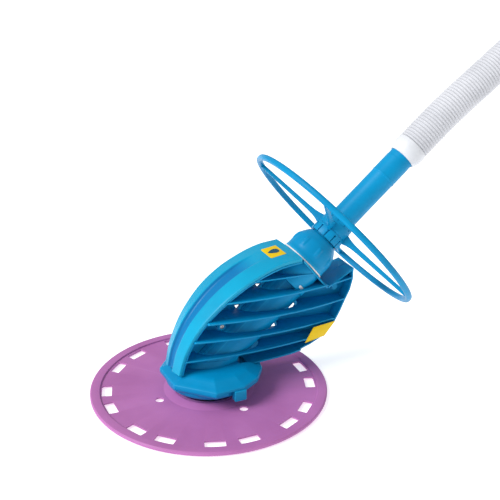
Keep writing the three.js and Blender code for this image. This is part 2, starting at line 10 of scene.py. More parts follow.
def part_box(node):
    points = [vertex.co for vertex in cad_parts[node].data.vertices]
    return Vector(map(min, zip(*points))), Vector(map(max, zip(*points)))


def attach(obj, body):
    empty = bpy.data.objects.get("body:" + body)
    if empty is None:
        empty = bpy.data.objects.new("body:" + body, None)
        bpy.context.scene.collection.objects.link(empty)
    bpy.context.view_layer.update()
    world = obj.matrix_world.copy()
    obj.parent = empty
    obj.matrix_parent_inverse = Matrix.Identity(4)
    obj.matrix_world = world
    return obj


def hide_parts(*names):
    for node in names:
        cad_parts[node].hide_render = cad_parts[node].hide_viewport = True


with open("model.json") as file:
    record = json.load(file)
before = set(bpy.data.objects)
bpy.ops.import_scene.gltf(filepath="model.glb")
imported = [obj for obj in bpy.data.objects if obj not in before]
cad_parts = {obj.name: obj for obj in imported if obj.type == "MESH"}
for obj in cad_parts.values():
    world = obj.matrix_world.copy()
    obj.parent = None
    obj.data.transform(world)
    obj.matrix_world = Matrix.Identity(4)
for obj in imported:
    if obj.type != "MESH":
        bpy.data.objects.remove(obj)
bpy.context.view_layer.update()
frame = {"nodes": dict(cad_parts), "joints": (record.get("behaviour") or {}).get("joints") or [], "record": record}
NODES = frame["nodes"]

# ---------------------------------------------------------------- places, from the frame
MM = 0.001
JOINTS = {joint["name"]: joint for joint in frame["joints"]}
disc_low, disc_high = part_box("seal_disc")
DISC_X = (disc_low.x + disc_high.x) / 2
NECK_AXIS = Vector(JOINTS["pipe_swivel"]["axis"]).normalized()
NECK_POINT = Vector(JOINTS["pipe_swivel"]["pos_m"])
NECK_FOOT = NECK_POINT + NECK_AXIS * ((DISC_X - NECK_POINT.x) / NECK_AXIS.x)
NECK_SIDE = Vector((0, 1, 0))
NECK_BACK = NECK_SIDE.cross(NECK_AXIS)

# Pieces are made in millimetres, about the disc's centre, or about the neck's foot with Z up the
# pipe.
ABOUT_DISC = Matrix.Translation((DISC_X, 0, 0)) @ Matrix.Scale(MM, 4)
ABOUT_NECK = (
    Matrix.Translation(NECK_FOOT)
    @ Matrix((NECK_BACK, NECK_SIDE, NECK_AXIS)).transposed().to_4x4()
    @ Matrix.Scale(MM, 4)
)

TO_DISC = ABOUT_DISC.inverted() @ ABOUT_NECK
TO_NECK = ABOUT_NECK.inverted() @ ABOUT_DISC

GAP = 0.3                              # between pieces that touch
FINE = 128                             # sides of a turned piece

# ---------------------------------------------------------------- camera
CAMERA = {
    "place": (-0.6434, -1.2379, 0.8204), "azimuth": -26.74, "elevation": 23.77, "roll": 0.29,
    "lens": 77.39, "sensor": 36,
}


def make_camera():
    a, e, roll = (math.radians(CAMERA[k]) for k in ("azimuth", "elevation", "roll"))
    right = Vector((math.cos(a), math.sin(a), 0))
    back = Vector((math.sin(a) * math.cos(e), -math.cos(a) * math.cos(e), math.sin(e)))
    right = math.cos(roll) * right + math.sin(roll) * back.cross(right)
    up = back.cross(right)
    camera = bpy.data.objects.new("camera", bpy.data.cameras.new("camera"))
    camera.data.lens = CAMERA["lens"]
    camera.data.sensor_width = CAMERA["sensor"]
    facing = Matrix((right, up, back)).transposed().to_4x4()
    camera.matrix_world = Matrix.Translation(CAMERA["place"]) @ facing
    bpy.context.scene.collection.objects.link(camera)
    bpy.context.scene.camera = camera


# ---------------------------------------------------------------- outlines
NEARLY_STRAIGHT = math.radians(14)


def rounded(points, radius, steps=3, closed=True):
    """The outline with its corners rounded; nearly straight corners are left alone."""
    made = []
    count = len(points)
    for i, point in enumerate(points):
        here = Vector(point)
        if not closed and i in (0, count - 1):
            made.append(tuple(here))
            continue
        before = Vector(points[i - 1]) - here
        after = Vector(points[(i + 1) % count]) - here
        bend = math.pi - before.angle(after)
        if bend < NEARLY_STRAIGHT:
            made.append(tuple(here))
            continue
        reach = min(radius * math.tan(bend / 2), 0.45 * before.length, 0.45 * after.length)
        start, end = here + before.normalized() * reach, here + after.normalized() * reach
        for k in range(steps + 1):
            t = k / steps
            made.append(tuple((1 - t) ** 2 * start + 2 * t * (1 - t) * here + t * t * end))
    return made


def catmull(points, steps):
    """A smooth line through the points, with its steps evenly spaced."""
    points = [Vector(p) for p in points]
    ends = [2 * points[0] - points[1], *points, 2 * points[-1] - points[-2]]
    fine, per_span = [], 40
    for i in range(len(points) - 1):
        p0, p1, p2, p3 = ends[i : i + 4]
        for k in range(per_span):
            t = k / per_span
            fine.append(0.5 * (2 * p1 + (p2 - p0) * t + (2 * p0 - 5 * p1 + 4 * p2 - p3) * t * t
                               + (3 * p1 - p0 - 3 * p2 + p3) * t ** 3))
    fine.append(points[-1])
    return evenly(fine, steps)


def evenly(line, steps):
    """The line again, with its points evenly spaced."""
    along = [0.0]
    for a, b in zip(line, line[1:]):
        along.append(along[-1] + (b - a).length)
    made, i = [], 0
    for k in range(steps + 1):
        goal = along[-1] * k / steps
        while i < len(line) - 2 and along[i + 1] < goal:
            i += 1
        share = (goal - along[i]) / (along[i + 1] - along[i])
        made.append(line[i].lerp(line[i + 1], min(max(share, 0), 1)))
    return made


# ---------------------------------------------------------------- meshes
def lathe(profile, sides=FINE, closed=True):
    """A turned solid about Z from [radius, z]. An open profile starts and ends on the axis."""
    bm = bmesh.new()
    rings = []
    for radius, z in profile:
        if radius < 1e-6:
            rings.append([bm.verts.new((0, 0, z))])
            continue
        turns = [2 * math.pi * i / sides for i in range(sides)]
        ring = [(radius * math.cos(t), radius * math.sin(t), z) for t in turns]
        rings.append([bm.verts.new(point) for point in ring])
    pairs = list(zip(rings, rings[1:])) + ([(rings[-1], rings[0])] if closed else [])
    for low, high in pairs:
        for i in range(sides):
            j = (i + 1) % sides
            corners = [low[i % len(low)], low[j % len(low)]]
            corners += [high[j % len(high)], high[i % len(high)]]
            corners = list(dict.fromkeys(corners))
            if len(corners) > 2:
                bm.faces.new(corners)
    bmesh.ops.recalc_face_normals(bm, faces=bm.faces)
    return bm


def rod(radius, low, high, sides=FINE):
    return lathe([(0, low), (radius, low), (radius, high), (0, high)], sides, False)


def skin(bm, rings, close_ends=True):
    """Joins rings of equal count into one skin, and closes its two ends or joins them up."""
    pairs = list(zip(rings, rings[1:])) + ([] if close_ends else [(rings[-1], rings[0])])
    for a, b in pairs:
        for i in range(len(a)):
            j = (i + 1) % len(a)
            bm.faces.new([a[i], a[j], b[j], b[i]])
    if close_ends:
        bm.faces.new(list(reversed(rings[0])))
        bm.faces.new(rings[-1])
    bmesh.ops.recalc_face_normals(bm, faces=bm.faces)
    return bm


def loft(levels):
    """Level rings of equal count, (points, z), joined into one closed skin."""
    bm = bmesh.new()
    return skin(bm, [[bm.verts.new((x, y, z)) for x, y in points] for points, z in levels])


def inset_outline(outline, distance):
    """The outline moved inwards, counted anticlockwise."""
    made = []
    for i, point in enumerate(outline):
        here = Vector(point)
        before = (here - Vector(outline[i - 1])).normalized()
        after = (Vector(outline[(i + 1) % len(outline)]) - here).normalized()
        inward = Vector((-before.y, before.x)) + Vector((-after.y, after.x))
        inward /= max(1 + before.dot(after), 0.35)
        made.append(here + inward * distance)
    return made


def prism(outline, low, high, edge=0.0):
    """A flat outline on XY given thickness along Z, with rounded rims."""
    area = sum(a[0] * b[1] - b[0] * a[1] for a, b in zip(outline, [*outline[1:], outline[0]]))
    outline = list(outline) if area > 0 else list(reversed(outline))
    stations = [(0.0, low), (0.0, high)]
    if edge:
        turns = [0, math.pi / 4, math.pi / 2]
        below = [(edge * (1 - math.sin(t)), low + edge * (1 - math.cos(t))) for t in turns]
        stations = below + [(inset, low + high - z) for inset, z in reversed(below)]
    return loft([(inset_outline(outline, inset), z) for inset, z in stations])


def block(x0, x1, y0, y1, z0, z1, edge=0.0):
    return prism([(x0, y0), (x1, y0), (x1, y1), (x0, y1)], z0, z1, edge)


def turn(bm, matrix):
    bm.transform(matrix)
    return bm


def to_object(bm, name="part"):
    mesh = bpy.data.meshes.new(name)
    bm.to_mesh(mesh)
    bm.free()
    obj = bpy.data.objects.new(name, mesh)
    bpy.context.scene.collection.objects.link(obj)
    return obj


def applied(obj):
    """The object with its modifiers worked into its mesh."""
    bpy.context.view_layer.update()
    seen = obj.evaluated_get(bpy.context.evaluated_depsgraph_get())
    mesh = bpy.data.meshes.new_from_object(seen)
    obj.modifiers.clear()
    obj.data = mesh
    return obj


def combine(first, others, operation):
    """Joins or cuts solids, given as bmeshes, and gives a bmesh back."""
    base = to_object(first)
    for other in others:
        tool = to_object(other)
        step = base.modifiers.new("step", "BOOLEAN")
        step.operation = operation
        step.solver = "MANIFOLD"
        step.object = tool
        applied(base)
        bpy.data.objects.remove(tool)
    bm = bmesh.new()
    bm.from_mesh(base.data)
    bpy.data.objects.remove(base)
    return bm


def smooth_shade(mesh, angle=35):
    for face in mesh.polygons:
        face.use_smooth = True
    mesh.set_sharp_from_angle(angle=math.radians(angle))


SOFT = {"least": 2.5, "flat": math.radians(0.4), "corner": math.radians(40)}


def softened(node, width):
    """A CAD piece's own shape, with its longer outer edges rounded."""
    bm = bmesh.new()
    bm.from_mesh(NODES[node].data)
    bmesh.ops.remove_doubles(bm, verts=bm.verts, dist=1e-6)
    bmesh.ops.dissolve_limit(bm, angle_limit=SOFT["flat"], verts=bm.verts, edges=bm.edges)
    bm.transform(Matrix.Scale(1 / MM, 4))
    weight = bm.edges.layers.float.new("bevel_weight_edge")
    for edge in bm.edges:
        if len(edge.link_faces) == 2 and edge.calc_length() > SOFT["least"]:
            if edge.is_convex and edge.calc_face_angle() > SOFT["corner"]:
                edge[weight] = 1.0
    obj = to_object(bm, node + "_soft")
    bevel = obj.modifiers.new("rim", "BEVEL")
    bevel.width = width
    bevel.segments = 2
    bevel.limit_method = "WEIGHT"
    bevel.use_clamp_overlap = False
    applied(obj)
    obj.data.transform(Matrix.Scale(MM, 4))
    return obj


def finish_piece(obj, name, body, nodes, material, angle=35):
    """Names the piece, gives it its material and body, and hides the CAD pieces it stands for."""
    obj.name = name
    obj.data.name = name
    obj.data.materials.clear()
    obj.data.materials.append(material)
    smooth_shade(obj.data, angle)
    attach(obj, body)
    if nodes:
        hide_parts(*nodes)
    return obj


def piece(bm, name, body, nodes, material, place=ABOUT_DISC, angle=35):
    obj = to_object(bm, name)
    obj.data.transform(place)
    return finish_piece(obj, name, body, nodes, material, angle)


# ---------------------------------------------------------------- materials
def new_material(name):
    material = bpy.data.materials.new(name)
    material.use_nodes = True
    nodes, links = material.node_tree.nodes, material.node_tree.links
    return material, nodes, links, nodes["Principled BSDF"]


def noise_node(nodes, links, scale, detail=3.0, stretch=None):
    place = nodes.new("ShaderNodeTexCoord")
    texture = nodes.new("ShaderNodeTexNoise")
    texture.inputs["Scale"].default_value = scale
    texture.inputs["Detail"].default_value = detail
    source = place.outputs["Object"]
    if stretch:
        mapping = nodes.new("ShaderNodeMapping")
        mapping.inputs["Scale"].default_value = stretch
        links.new(source, mapping.inputs["Vector"])
        source = mapping.outputs["Vector"]
    links.new(source, texture.inputs["Vector"])
    return texture.outputs["Fac"]


def ramp_node(nodes, links, source, stops):
    """Colours along a ramp: stops are (place, colour)."""
    ramp = nodes.new("ShaderNodeValToRGB")
    for element, (place, colour) in zip(ramp.color_ramp.elements, (stops[0], stops[-1])):
        element.position, element.color = place, (*colour, 1)
    for place, colour in stops[1:-1]:
        ramp.color_ramp.elements.new(place).color = (*colour, 1)
    links.new(source, ramp.inputs["Fac"])
    return ramp.outputs["Color"]


def range_node(nodes, links, source, low, high, to_low, to_high):
    scaled = nodes.new("ShaderNodeMapRange")
    ends = {"From Min": low, "From Max": high, "To Min": to_low, "To Max": to_high}
    for name, value in ends.items():
        scaled.inputs[name].default_value = value
    links.new(source, scaled.inputs["Value"])
    return scaled.outputs["Result"]


def mix_node(nodes, links, share, first, second):
    mixed = nodes.new("ShaderNodeMix")
    mixed.data_type = "RGBA"
    for socket, value in ((0, share), (6, first), (7, second)):
        if isinstance(value, tuple):
            mixed.inputs[socket].default_value = (*value, 1)
        elif isinstance(value, float):
            mixed.inputs[socket].default_value = value
        else:
            links.new(value, mixed.inputs[socket])
    return mixed.outputs[2]


def plastic(name, dark, light, edge, roughness, grain=700, bump=0.06, wear=0.35, specular=0.5,
            painted_shade_colour=None):
    """Moulded plastic: faint flow marks in its colour, a fine skin, lighter rubbed edges and uneven gloss. Where a
    piece has a painted-shade attribute, a darker painted-shade colour is mixed in there."""
    material, nodes, links, shader = new_material(name)
    flow = noise_node(nodes, links, 14, 4.0, (1.0, 1.0, 2.5))
    colour = ramp_node(nodes, links, flow, [(0.36, dark), (0.64, light)])
    geometry = nodes.new("ShaderNodeNewGeometry")
    rubbed = range_node(nodes, links, geometry.outputs["Pointiness"], 0.53, 0.62, 0.0, wear)
    colour = mix_node(nodes, links, rubbed, colour, edge)
    # Painted shade: a darker colour is mixed in wherever the piece's attribute asks for it.
    if painted_shade_colour:
        painted_shade = nodes.new("ShaderNodeAttribute")
        painted_shade.attribute_name = "painted_shade"
        colour = mix_node(nodes, links, painted_shade.outputs["Fac"], colour, painted_shade_colour)
    links.new(colour, shader.inputs["Base Color"])
    patches = noise_node(nodes, links, 45, 5.0)
    gloss = range_node(nodes, links, patches, 0.3, 0.7, roughness - 0.05, roughness + 0.07)
    links.new(gloss, shader.inputs["Roughness"])
    shader.inputs["Specular IOR Level"].default_value = specular
    skin = noise_node(nodes, links, grain, 2.0)
    raised = nodes.new("ShaderNodeBump")
    raised.inputs["Strength"].default_value = bump
    raised.inputs["Distance"].default_value = 0.0004
    links.new(skin, raised.inputs["Height"])
    links.new(raised.outputs["Normal"], shader.inputs["Normal"])
    return material


def metal(name, colour, roughness):
    material, nodes, links, shader = new_material(name)
    brushed = noise_node(nodes, links, 300, 3.0, (1.0, 1.0, 12.0))
    dark = tuple(c * 0.8 for c in colour)
    shade = ramp_node(nodes, links, brushed, [(0.3, dark), (0.7, colour)])
    links.new(shade, shader.inputs["Base Color"])
    shader.inputs["Metallic"].default_value = 1.0
    gloss = range_node(nodes, links, brushed, 0.3, 0.7, roughness, roughness + 0.15)
    links.new(gloss, shader.inputs["Roughness"])
    return material


BLUE = plastic("blue_plastic", (0.0, 0.24, 0.49), (0.0, 0.278, 0.56), (0.02, 0.48, 0.74),
               0.38, specular=0.16)
# The band's blue is lighter than the body's. This is partly painted light, for the brighter light on its face. Its
# darker colour is painted shade in the channel.
BAND_BLUE = plastic("band_blue", (0.0, 0.31, 0.53), (0.0, 0.355, 0.59), (0.04, 0.52, 0.72),
                    0.36, specular=0.22, painted_shade_colour=(0.0, 0.175, 0.43))
PURPLE = plastic("purple_elastomer", (0.44, 0.15, 0.40), (0.49, 0.175, 0.45), (0.56, 0.25, 0.55),
                 0.5, 420, 0.1, 0.3, 0.25)
WHITE = plastic("white_plastic", (0.67, 0.69, 0.73), (0.73, 0.75, 0.79), (0.9, 0.91, 0.93),
                0.4, 900, 0.04, 0.2)
HOSE_WHITE = plastic("white_hose", (0.55, 0.56, 0.60), (0.61, 0.62, 0.66), (0.82, 0.82, 0.84),
                     0.42, 600, 0.05, 0.2, 0.3)
YELLOW = plastic("yellow_film", (0.82, 0.53, 0.0), (0.88, 0.60, 0.0), (0.92, 0.72, 0.02),
                 0.4, 1200, 0.03, 0.2, 0.2)
INK = plastic("dark_print", (0.0, 0.06, 0.11), (0.0, 0.08, 0.14), (0.02, 0.12, 0.18),
              0.4, 1200, 0.03, 0.1)
RUBBER = plastic("black_rubber", (0.012, 0.012, 0.013), (0.025, 0.025, 0.027), (0.05, 0.05, 0.05),
                 0.6, 500, 0.12, 0.2, 0.3)
FOAM = plastic("grey_foam", (0.05, 0.06, 0.07), (0.09, 0.1, 0.115), (0.14, 0.15, 0.16),
               0.8, 1500, 0.3, 0.2, 0.2)
STEEL = metal("steel", (0.42, 0.43, 0.45), 0.3)

# ---------------------------------------------------------------- hose
# The hose's centre line beyond the neck, [x, z] in the middle plane about the disc, as in the CAD.
HOSE_LINE = [(333.8, 326.5), (354, 343.2), (396.5, 376.7), (446.6, 411.8), (479, 434.4),
             (508, 454.6), (545, 480.2), (582, 505.8)]
HOSE = {"outer": 25.0, "wall": 2.2, "pitch": 4.9, "groove": 1.5, "per_ring": 8, "sides": 48}
CORD_POINTS = 36                       # steps of the hose's route that make_hose gives back


def hose_line(steps):
    return [Vector((p[0], 0, p[1])) for p in catmull(HOSE_LINE, steps)]


def swept(sections, sides):
    """Rings across a path, from (radius, place, way), joined into a skin that closes on itself."""
    bm = bmesh.new()
    turns = [2 * math.pi * k / sides for k in range(sides)]
    rings = []
    for radius, place, way in sections:
        side = Vector((0, 1, 0))
        up = way.cross(side).normalized()
        ring = [place + radius * (math.cos(t) * side + math.sin(t) * up) for t in turns]
        rings.append([bm.verts.new(point) for point in ring])
    return skin(bm, rings, close_ends=False)


def make_hose():
    """Corrugated: the wall swings between crest and root once a pitch, inside and out together."""
    line = hose_line(600)
    length = sum((b - a).length for a, b in zip(line, line[1:]))
    count = round(length / HOSE["pitch"]) * HOSE["per_ring"]
    path = evenly(line, count)
    outside, inside = [], []
    for i, place in enumerate(path):
        way = (path[min(i + 1, count)] - path[max(i - 1, 0)]).normalized()
        swing = 0.5 - 0.5 * math.cos(2 * math.pi * i / HOSE["per_ring"])
        crest = HOSE["outer"] - HOSE["groove"] * (1 - swing ** 0.7)
        outside.append((crest, place, way))
        inside.append((crest - HOSE["wall"], place, way))
    bm = swept(outside + list(reversed(inside)), HOSE["sides"])
    hose = piece(bm, "corrugated_hose", "hose_pipe", ["hose"], HOSE_WHITE,
                 ABOUT_DISC, 120)
    route = [ABOUT_DISC @ point for point in evenly(line, CORD_POINTS)]
    return hose, route, length * MM


def make_hose_end():
    """The end cuff of this length of hose: a collar with raised bands and a round socket."""
    line = hose_line(200)
    tip, way = line[-1], (line[-1] - line[-2]).normalized()
    bore, neck, band, low = 20.5, 25.9, 27.4, 26.4
    profile = [(bore, GAP), (24.3, GAP), (neck, 2.5), (neck, 12), (band, 15), (band, 19),
               (low, 20.5), (low, 23), (band, 24.5), (band, 28), (low, 29.5), (low, 31),
               (band, 32.5), (band, 35), (neck, 38), (neck, 50), (bore, 50)]
    side = Vector((0, 1, 0))
    place = Matrix((side.cross(way), side, way)).transposed().to_4x4()
    bm = turn(lathe(rounded(profile, 0.9)), Matrix.Translation(tip) @ place)
    return piece(bm, "hose_end_connector", "hose_pipe", ["hose_end_cuff"], WHITE)


def make_hose_cuff():
    """The smooth bulge between the pipe and the hose."""
    bore, low, high = 19.35, 407, 431.8
    profile = [(bore, low), (20.9, low), (21.9, 408.4), (23.1, 411), (24.3, 414.5), (25.1, 418.5),
               (25.3, 422), (25.2, 427), (24.9, 430), (24.2, high), (bore, high)]
    return piece(lathe(rounded(profile, 0.8)), "hose_swivel_cuff", "hose_pipe", ["hose_cuff"],
                 WHITE, ABOUT_NECK)


def make_cord():
    cuff = make_hose_cuff()
    end = make_hose_end()
    hose, route, length = make_hose()


# ---------------------------------------------------------------- disc and foot
DISC_EDGE = [(47, 2.6), (153.5, 2.6), (157.5, 0.05), (169.5, 0.05), (172.3, 2.6), (172.4, 5.6),
             (170.6, 7.4), (158.3, 7.4), (157.5, 5), (66, 5), (53.8, 9.3), (50.8, 9.3), (50.8, 6),
             (47, 6)]
DISC_SIDES = 256
SLOT = {"pairs": 8, "radius": 148, "length": 29, "width": 14.5, "apart": 18.34, "first": 122.82}
DISC_HOLES = {"radius": 78.5, "bore": 6.3, "angles": (52.9, 181.6, 284.2)}


def polar(radius, degrees):
    return Matrix.Rotation(math.radians(degrees), 4, "Z") @ Matrix.Translation((radius, 0, 0))


def make_disc():
    low, high = -3, 12                 # the tools reach past the disc on both sides
    x, y = SLOT["width"] / 2, SLOT["length"] / 2
    outline = rounded([(-x, -y), (x, -y), (x, y), (-x, y)], 1.0)
    tools = []
    for i in range(SLOT["pairs"]):
        for side in (-0.5, 0.5):
            angle = SLOT["first"] + 360 / SLOT["pairs"] * i + SLOT["apart"] * side
            tools.append(turn(prism(outline, low, high), polar(SLOT["radius"], angle)))
    for angle in DISC_HOLES["angles"]:
        hole = rod(DISC_HOLES["bore"], low, high, 40)
        tools.append(turn(hole, polar(DISC_HOLES["radius"], angle)))
    bm = combine(lathe(rounded(DISC_EDGE, 0.8), DISC_SIDES), tools, "DIFFERENCE")
    return piece(bm, "flexible_disc", "disc", ["seal_disc"], PURPLE)


FOOT_CORNERS = [(-65.5, -27.5), (-22, -74.3), (22, -74.3), (50, -59.2), (69, -35.3), (77.5, 0),
                (69, 35.3), (50, 59.2), (22, 74.3), (-22, 74.3), (-65.5, 27.5)]
# The flange from below to its top, [how far in from the corners, z].
FOOT_LEVELS = [(12, 22.5), (8, 24.6), (4, 27.4), (1.4, 30), (0.2, 32.2), (0, 33.5), (0, 37.6),
               (0.35, 38.5), (1.1, 39.1), (5, 40.4), (10, 42.6), (15, 45.2), (19, 47.4), (26, 49)]
FOOT_UNDER = [(0, 9.6), (46, 9.6), (46, 12.6), (52, 14.6), (58, 18), (62, 22), (63.4, 27),
              (63.4, 33), (0, 33)]
FOOT_BORE = [(0, 4), (22, 4), (22, 28), (18, 52), (0, 52)]
STUB = {"low": 34, "top": 57.7}        # the part of the throat that stands on the foot
SHELF = {"x": 36, "half_width": 28.5, "z": 39.5}
BALLAST_ROOM = {"inner": 25.7, "outer": 42.3, "low": 5, "high": 26.3}
CLIP = {"x": (6, 23), "y": (66.3, 77), "z": (19, 34.7), "room_x": (-3, 23.3), "room_y": 66}
HOOK = {"x": (9, 20), "y": (66.4, 69.4), "z": (15, 22)}

# The throat is an oval around two circles across the neck: [place, radius].
THROAT = {"circles": ((0, 22.1), (8.3, 26)), "wall": 2.6}


def throat_tube(low, high, grow=0.0):
    outline = []
    for k in range(FINE):
        t = 2 * math.pi * k / FINE
        place, radius = max(THROAT["circles"], key=lambda c: c[0] * math.cos(t) + c[1])
        outline.append((place + (radius + grow) * math.cos(t), (radius + grow) * math.sin(t)))
    return prism(outline, low, high)


def moved_in(outline, inset):
    """The outline drawn in towards the middle."""
    return [(x * (1 - inset / math.hypot(x, y)), y * (1 - inset / math.hypot(x, y)))
            for x, y in outline]


def make_foot():
    outline = rounded(FOOT_CORNERS, 4.0, 4)
    flange = loft([(moved_in(outline, inset), z) for inset, z in FOOT_LEVELS])
    under = lathe(rounded(FOOT_UNDER, 1.5, 3, False), FINE, False)
    above = block(-120, 160, -60, 60, STUB["top"], 200)
    below = block(-120, 160, -60, 60, -60, STUB["low"])
    stub = combine(turn(throat_tube(-30, 90), TO_DISC), [above, below], "DIFFERENCE")
    low, high = BALLAST_ROOM["low"], BALLAST_ROOM["high"]
    core = rod(BALLAST_ROOM["inner"], low - 1, high + 2)
    tools = [
        lathe(FOOT_BORE, 64, False),
        turn(throat_tube(-8, 90, -THROAT["wall"]), TO_DISC),
        block(SHELF["x"], 90, -SHELF["half_width"], SHELF["half_width"], SHELF["z"], 80),
        combine(rod(BALLAST_ROOM["outer"], low, high), [core], "DIFFERENCE"),
    ]
    for y0, y1 in ((-90, -CLIP["room_y"]), (CLIP["room_y"], 90)):
        tools.append(block(*CLIP["room_x"], y0, y1, 5, 35))
    bm = combine(combine(flange, [under, stub], "UNION"), tools, "DIFFERENCE")
    return piece(bm, "foot", "body", ["foot_base"], BLUE, ABOUT_DISC, 42)


def make_clips():
    """Each clip is a block in the foot's side with a small hook bar below its inner edge."""
    for name, side in (("left", -1), ("right", 1)):
        y0, y1 = sorted(side * y for y in CLIP["y"])
        hook_low, hook_high = sorted(side * y for y in HOOK["y"])
        hook = block(*HOOK["x"], hook_low, hook_high, *HOOK["z"], 0.4)
        bm = combine(block(*CLIP["x"], y0, y1, *CLIP["z"], 0.8), [hook], "UNION")
        piece(bm, f"foot_clip_{name}_block", "body", [f"foot_clip_{name}"], BLUE)


# ---------------------------------------------------------------- neck
COLLAR = {"radius": 34, "seat": 29, "low": 158, "floor": 163, "high": 195}
PIN = {"at": 165, "turn": -78.5, "length": 11, "width": 4.4, "depth": 3}


def make_housing():
    radius, low, high = COLLAR["radius"], COLLAR["low"], COLLAR["high"]
    profile = rounded([(0, low), (radius, low), (radius, high), (0, high)], 1.2, 3, False)
    outside = combine(throat_tube(-10, low + 3), [lathe(profile, FINE, False)], "UNION")
    below = turn(block(-200, 400, -60, 60, -60, STUB["top"] + GAP), TO_NECK)
    seat = rod(COLLAR["seat"], COLLAR["floor"], high + 1)
    bore = throat_tube(-20, COLLAR["floor"] + 1, -THROAT["wall"])
    bm = combine(outside, [bore, seat, below, pin_shape(GAP)], "DIFFERENCE")
    piece(bm, "throat_and_collar", "body", ["throat_housing"], BLUE, ABOUT_NECK)
    piece(pin_shape(0), "collar_pin", "body", ["housing_pin"], WHITE, ABOUT_NECK)


def pin_shape(grow):
    half, reach = PIN["width"] / 2 + grow, (PIN["length"] - PIN["width"]) / 2
    turns = [math.pi * k / 10 for k in range(11)]
    outline = [(half * math.cos(t), reach + half * math.sin(t)) for t in turns]
    outline += [(-half * math.cos(t), -reach - half * math.sin(t)) for t in turns]
    bm = prism(outline, 0, PIN["depth"] + 2 * grow, 0 if grow else 0.5)
    stand = Matrix.Rotation(math.pi / 2, 4, "Y")
    out = Matrix.Translation((COLLAR["radius"] - PIN["depth"] - grow - 0.1, 0, PIN["at"]))
    return turn(bm, Matrix.Rotation(math.radians(PIN["turn"]), 4, "Z") @ out @ stand)


NUT = {
    "from": 197.5, "sides": 360, "shoulder": 34.2,
    "grips": 8, "grip_at": 20, "grip_height": 1.5, "grip_half": 7.4, "grip_half_turn": 5.4,
}


def make_nut():
    """The domed nut, with eight soft finger grips standing on its shoulder."""
    shoulder, sides, from_z = NUT["shoulder"], NUT["sides"], NUT["from"]
    base = [(34.5, 0), (34.5, 3.6), (shoulder, 4.1), (shoulder, 10)]
    dome = catmull([(shoulder, 10), (34.1, 15), (33.5, 21), (32, 27.6), (29.9, 32.4)], 32)
    top = [(29.3, 32.9), (28.9, 33.8), (27.2, 36.6), (24.6, 39.9), (23, 41.6), (21.8, 42.5)]
    inside = [(19.6, 42.5), (20.4, 38.4), (25.2, 32.4), (28.4, 26), (30.4, 20), (31.2, 12),
              (31.2, 0)]
    profile = base + [tuple(p) for p in dome[1:]] + top + inside
    domed = len(base) + len(dome) - 1
    bm = lathe([(r, z + from_z) for r, z in profile], sides)
    bm.verts.ensure_lookup_table()
    sector = 360 / NUT["grips"]
    for vert in bm.verts[: domed * sides]:
        radius, height = math.hypot(vert.co.x, vert.co.y), vert.co.z - from_z
        turned = math.degrees(math.atan2(vert.co.y, vert.co.x)) / sector
        across = abs(turned % 1 - 0.5) * sector / NUT["grip_half_turn"]
        along = abs((height - NUT["grip_at"]) / NUT["grip_half"])
        lift = NUT["grip_height"] * math.exp(-(across ** 3.6)) * math.exp(-(along ** 5))
        vert.co.x *= 1 + lift / radius
        vert.co.y *= 1 + lift / radius
        vert.co.z += 0.3 * lift
    return piece(bm, "dome_hand_nut", "nut", ["hand_nut"], BLUE, ABOUT_NECK, 50)


def ring_profile(inner, outer, low, high, edge):
    return rounded([(inner, low), (outer, low), (outer, high), (inner, high)], edge)


def make_rings():
    gasket = lathe(ring_profile(30.2, 35.3, 195.2, 197.3, 0.4))
    piece(gasket, "nut_gasket", "body", ["nut_seal_ring"], WHITE, ABOUT_NECK)
    retainer = lathe(ring_profile(47, 50.5, 6.3, 9.3, 0.6))
    piece(retainer, "disc_retainer", "body", ["disc_retaining_ring"], PURPLE)


PIPE_PROFILE = [(17, 170), (27, 170), (27, 174), (19, 174), (19, 365.4), (19.7, 366),
                (19.7, 368.4), (19.3, 369), (19.3, 398), (19, 399), (19, 429), (18.4, 430),
                (17, 430)]
BUSH_PROFILE = [(19.3, 243.5), (21, 243.5), (21, 277), (23, 277), (23, 281), (19.3, 281)]


def make_pipe():
    piece(lathe(rounded(PIPE_PROFILE, 0.5)), "extension_pipe", "hose_pipe",
          ["outer_extension_pipe"], BLUE, ABOUT_NECK)
    piece(lathe(rounded(BUSH_PROFILE, 0.5)), "wheel_bush", "hose_pipe", ["wheel_sleeve"],
          BLUE, ABOUT_NECK)


WHEEL = {
    "at": 261, "radius": 152, "rim": 8, "depth": 9, "spokes": 4, "first": -50, "hub": 23.75,
    "bore": 21.3, "low": -19.5, "high": 14.5, "slots": 12, "rim_sides": 256, "hub_sides": 192,
}
# Along a spoke, about the wheel's plane: [distance from the axis, half thickness, low, high].
SPOKE = [(22.2, 2.7, -8.8, 7.4), (26, 2.6, -7.8, 6.5), (31, 2.5, -6.0, 5.2), (38, 2.4, -4.7, 4.0),
         (50, 2.3, -4.0, 3.3), (70, 2.2, -3.7, 3.0), (110, 2.1, -3.4, 2.7), (147, 2.1, -3.2, 2.5)]


def spoke(angle):
    bm = bmesh.new()
    rings = []
    for out, half, low, high in SPOKE:
        corners = rounded([(-half, low), (half, low), (half, high), (-half, high)], 1.1, 3)
        rings.append([bm.verts.new((out, y, z + WHEEL["at"])) for y, z in corners])
    return turn(skin(bm, rings), Matrix.Rotation(math.radians(angle), 4, "Z"))


def make_rim():
    half, outer = WHEEL["depth"] / 2, WHEEL["radius"]
    inner = outer - WHEEL["rim"]
    lower = [(inner, -1.6), (inner + 0.9, -half + 0.9), (inner + 2.6, -half), (outer - 2.6, -half),
             (outer - 0.9, -half + 0.9), (outer, -1.6)]
    profile = lower + [(radius, -z) for radius, z in reversed(lower)]
    profile = [(r, z + WHEEL["at"]) for r, z in rounded(profile, 1.0, 2)]
    return lathe(profile, WHEEL["rim_sides"])


